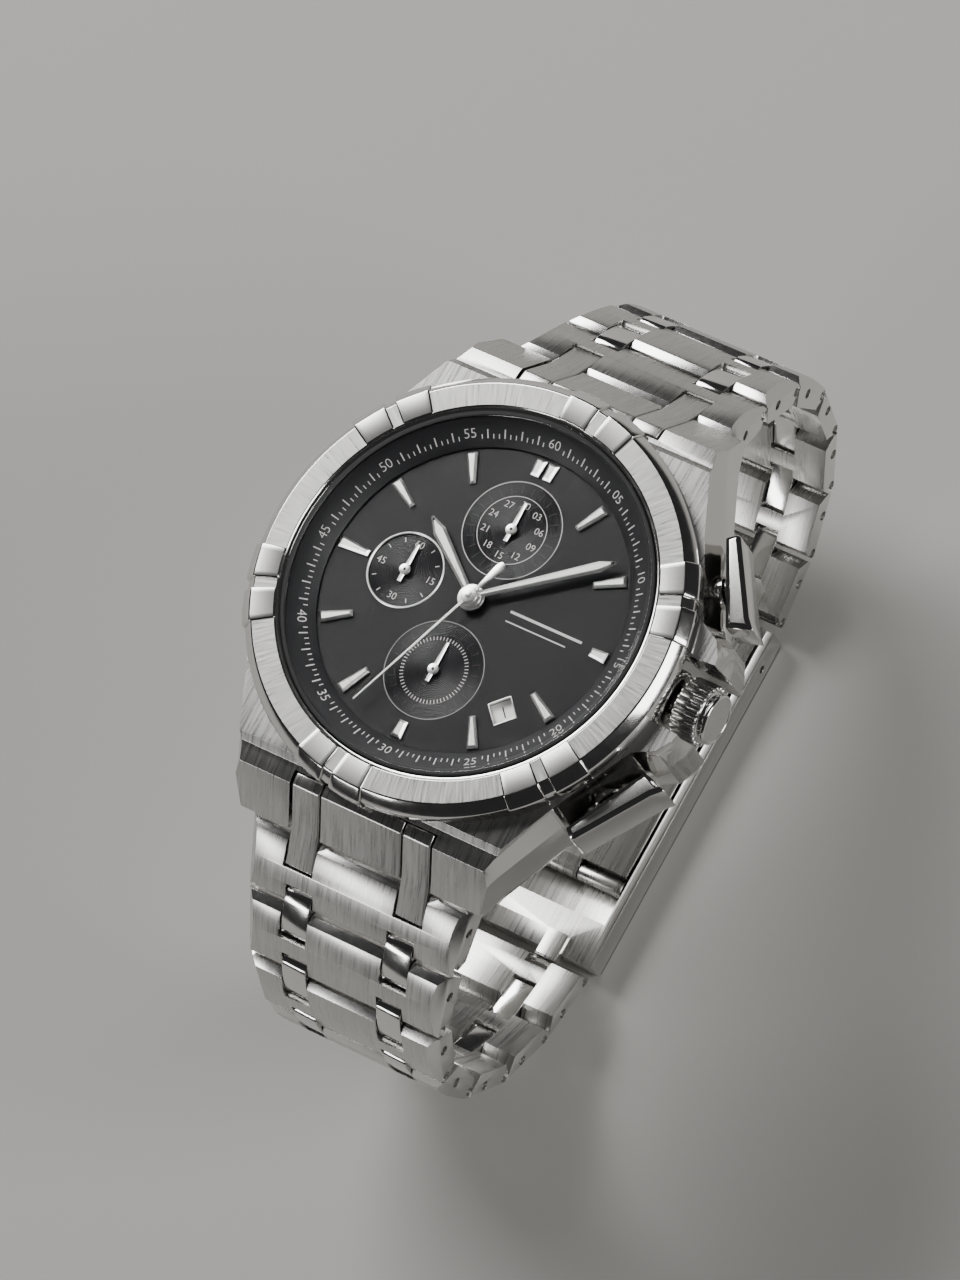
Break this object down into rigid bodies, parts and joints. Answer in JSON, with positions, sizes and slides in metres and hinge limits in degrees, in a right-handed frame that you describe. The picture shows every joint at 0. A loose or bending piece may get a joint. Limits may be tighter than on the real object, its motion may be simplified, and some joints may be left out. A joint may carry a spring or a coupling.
{
  "type": "wristwatch",
  "caption": "Steel chronograph wristwatch with a clawed round bezel, black dial with three counters, two push-pieces, crown and closed H-link bracelet with fold-over clasp.",
  "frame": {"origin": "centre of the case back's outer face", "axes": "+Z out of the dial, +Y towards 12 o'clock, +X towards the crown at 3 o'clock"},
  "size_m": [0.0477, 0.0782, 0.0499],
  "materials": {
    "brushed_steel": "long-grain brushed stainless steel",
    "polished_steel": "mirror-polished stainless steel",
    "crystal": "flat mineral crystal, clear",
    "dial_black": "satin black galvanic dial",
    "flange_black": "matt black chapter ring with white print",
    "marker_steel": "diamond-cut rhodium-plated brass",
    "date_white": "white printed disc",
    "gasket_rubber": "black nitrile rubber",
    "holder_plastic": "grey acetal",
    "movement_brass": "nickel-plated brass plates",
    "battery_steel": "silver-oxide cell can",
    "spring_steel": "spring wire"
  },
  "bodies": {
    "case": {"case_middle": "brushed_steel", "bezel": "brushed_steel", "crystal": "crystal", "sealing_gaskets": "gasket_rubber", "flange_ring": "flange_black", "dial": "dial_black", "hour_markers": "marker_steel", "movement_holder": "holder_plastic", "movement": "movement_brass", "battery": "battery_steel", "case_back": "brushed_steel", "case_tubes": "polished_steel", "spring_bars": "polished_steel", "end_link_12": "brushed_steel", "end_link_6": "brushed_steel", "pusher_spring_2": "spring_steel", "pusher_spring_4": "spring_steel"},
    "date_disc": {"date_disc": "date_white"},
    "setting_lever": {"setting_lever": "spring_steel"},
    "crown": {"crown": "polished_steel", "winding_stem": "spring_steel"},
    "pusher_2": {"pusher_2": "brushed_steel"},
    "pusher_4": {"pusher_4": "brushed_steel"},
    "hour_hand": {"hour_hand": "marker_steel"},
    "minute_hand": {"minute_hand": "marker_steel"},
    "chrono_seconds_hand": {"chrono_seconds_hand": "marker_steel"},
    "small_seconds_hand": {"small_seconds_hand": "marker_steel"},
    "minute_counter_hand": {"minute_counter_hand": "marker_steel"},
    "hour_counter_hand": {"hour_counter_hand": "marker_steel"},
    "row_12_1": {"link_12_1": "brushed_steel", "pins_12_1": "polished_steel"},
    "row_12_2": {"link_12_2": "brushed_steel", "connectors_12_2": "polished_steel"},
    "row_12_3": {"link_12_3": "brushed_steel", "connectors_12_3": "polished_steel"},
    "row_12_4": {"link_12_4": "brushed_steel", "connectors_12_4": "polished_steel"},
    "row_12_5": {"link_12_5": "brushed_steel", "connectors_12_5": "polished_steel"},
    "row_12_6": {"link_12_6": "brushed_steel", "connectors_12_6": "polished_steel"},
    "row_12_7": {"link_12_7": "brushed_steel", "connectors_12_7": "polished_steel"},
    "row_6_1": {"link_6_1": "brushed_steel", "pins_6_1": "polished_steel"},
    "row_6_2": {"link_6_2": "brushed_steel", "connectors_6_2": "polished_steel"},
    "row_6_3": {"link_6_3": "brushed_steel", "connectors_6_3": "polished_steel"},
    "row_6_4": {"link_6_4": "brushed_steel", "connectors_6_4": "polished_steel"},
    "row_6_5": {"link_6_5": "brushed_steel", "connectors_6_5": "polished_steel"},
    "row_6_6": {"link_6_6": "brushed_steel", "connectors_6_6": "polished_steel"},
    "row_6_7": {"link_6_7": "brushed_steel", "connectors_6_7": "polished_steel"},
    "clasp_lower_blade": {"clasp_lower_blade": "brushed_steel"},
    "clasp_middle_blade": {"clasp_middle_blade": "polished_steel"},
    "clasp_cover": {"clasp_cover": "brushed_steel"}
  },
  "joints": [
    {"name": "crown_pull", "type": "slide", "parent": "case", "child": "setting_lever", "axis": [1, 0, 0], "range_m": [0, 0.0012]},
    {"name": "crown_turn", "type": "hinge", "parent": "setting_lever", "child": "crown", "pos_m": [0.02195, 0, 0.004], "axis": [1, 0, 0], "continuous": true},
    {"name": "push_2", "type": "slide", "parent": "case", "child": "pusher_2", "axis": [-0.8746, -0.4848, 0], "range_m": [0, 0.0005], "stiffness_N_per_m": 1500, "springref_m": -0.0006, "deforming": ["pusher_spring_2"]},
    {"name": "push_4", "type": "slide", "parent": "case", "child": "pusher_4", "axis": [-0.8746, 0.4848, 0], "range_m": [0, 0.0005], "stiffness_N_per_m": 1500, "springref_m": -0.0006, "deforming": ["pusher_spring_4"]},
    {"name": "small_seconds_turn", "type": "hinge", "parent": "case", "child": "small_seconds_hand", "pos_m": [-0.0076, 0, 0.00875], "axis": [0, 0, -1], "continuous": true},
    {"name": "minute_turn", "type": "hinge", "parent": "case", "child": "minute_hand", "pos_m": [0, 0, 0.00942], "axis": [0, 0, -1], "continuous": true},
    {"name": "hour_turn", "type": "hinge", "parent": "case", "child": "hour_hand", "pos_m": [0, 0, 0.00912], "axis": [0, 0, -1], "continuous": true},
    {"name": "date_turn", "type": "hinge", "parent": "case", "child": "date_disc", "pos_m": [0, 0, 0.0079], "axis": [0, 0, -1], "continuous": true},
    {"name": "chrono_seconds_turn", "type": "hinge", "parent": "case", "child": "chrono_seconds_hand", "pos_m": [0, 0, 0.00972], "axis": [0, 0, -1], "continuous": true},
    {"name": "minute_counter_turn", "type": "hinge", "parent": "case", "child": "minute_counter_hand", "pos_m": [0, 0.0076, 0.00875], "axis": [0, 0, -1], "continuous": true},
    {"name": "hour_counter_turn", "type": "hinge", "parent": "case", "child": "hour_counter_hand", "pos_m": [0, -0.0076, 0.00875], "axis": [0, 0, -1], "continuous": true},
    {"name": "row_12_1_hinge", "type": "hinge", "parent": "case", "child": "row_12_1", "pos_m": [0, 0.02716, -0.00031], "axis": [1, 0, 0], "range_deg": [0, 7]},
    {"name": "row_12_2_hinge", "type": "hinge", "parent": "row_12_1", "child": "row_12_2", "pos_m": [0, 0.03032, -0.00292], "axis": [1, 0, 0], "range_deg": [0, 9]},
    {"name": "row_12_3_hinge", "type": "hinge", "parent": "row_12_2", "child": "row_12_3", "pos_m": [0, 0.03517, -0.00851], "axis": [1, 0, 0], "range_deg": [0, 20.5]},
    {"name": "row_12_4_hinge", "type": "hinge", "parent": "row_12_3", "child": "row_12_4", "pos_m": [0, 0.03771, -0.01546], "axis": [1, 0, 0], "range_deg": [0, 24.5]},
    {"name": "row_12_5_hinge", "type": "hinge", "parent": "row_12_4", "child": "row_12_5", "pos_m": [0, 0.03706, -0.02283], "axis": [1, 0, 0], "range_deg": [0, 24.5]},
    {"name": "row_12_6_hinge", "type": "hinge", "parent": "row_12_5", "child": "row_12_6", "pos_m": [0, 0.03336, -0.02924], "axis": [1, 0, 0], "range_deg": [0, 22.5]},
    {"name": "row_12_7_hinge", "type": "hinge", "parent": "row_12_6", "child": "row_12_7", "pos_m": [0, 0.02745, -0.03369], "axis": [1, 0, 0], "range_deg": [0, 19.5]},
    {"name": "row_6_1_hinge", "type": "hinge", "parent": "case", "child": "row_6_1", "pos_m": [0, -0.02716, -0.00031], "axis": [-1, 0, 0], "range_deg": [0, 7]},
    {"name": "row_6_2_hinge", "type": "hinge", "parent": "row_6_1", "child": "row_6_2", "pos_m": [0, -0.03032, -0.00292], "axis": [-1, 0, 0], "range_deg": [0, 9]},
    {"name": "row_6_3_hinge", "type": "hinge", "parent": "row_6_2", "child": "row_6_3", "pos_m": [0, -0.03517, -0.00851], "axis": [-1, 0, 0], "range_deg": [0, 20.5]},
    {"name": "row_6_4_hinge", "type": "hinge", "parent": "row_6_3", "child": "row_6_4", "pos_m": [0, -0.03771, -0.01546], "axis": [-1, 0, 0], "range_deg": [0, 24.5]},
    {"name": "row_6_5_hinge", "type": "hinge", "parent": "row_6_4", "child": "row_6_5", "pos_m": [0, -0.03706, -0.02283], "axis": [-1, 0, 0], "range_deg": [0, 24.5]},
    {"name": "row_6_6_hinge", "type": "hinge", "parent": "row_6_5", "child": "row_6_6", "pos_m": [0, -0.03336, -0.02924], "axis": [-1, 0, 0], "range_deg": [0, 22.5]},
    {"name": "row_6_7_hinge", "type": "hinge", "parent": "row_6_6", "child": "row_6_7", "pos_m": [0, -0.02745, -0.03369], "axis": [-1, 0, 0], "range_deg": [0, 19.5]},
    {"name": "clasp_hinge", "type": "hinge", "parent": "row_12_7", "child": "clasp_lower_blade", "pos_m": [0, 0.02037, -0.03586], "axis": [1, 0, 0], "range_deg": [0, 16.5]},
    {"name": "clasp_fold", "type": "hinge", "parent": "clasp_lower_blade", "child": "clasp_middle_blade", "pos_m": [0, -0.0105, -0.03645], "axis": [-1, 0, 0], "range_deg": [0, 150]},
    {"name": "clasp_cover_fold", "type": "hinge", "parent": "clasp_middle_blade", "child": "clasp_cover", "pos_m": [0, 0.0155, -0.03705], "axis": [1, 0, 0], "range_deg": [0, 150]}
  ],
  "couplings": [
    {"joint": "minute_turn", "follows": "small_seconds_turn", "ratio": 0.016667},
    {"joint": "hour_turn", "follows": "small_seconds_turn", "ratio": 0.0013889},
    {"joint": "date_turn", "follows": "small_seconds_turn", "ratio": 0.000022401},
    {"joint": "minute_counter_turn", "follows": "chrono_seconds_turn", "ratio": 0.033333},
    {"joint": "hour_counter_turn", "follows": "chrono_seconds_turn", "ratio": 0.0013889},
    {"joint": "clasp_cover_fold", "follows": "clasp_fold", "ratio": 1}
  ]
}
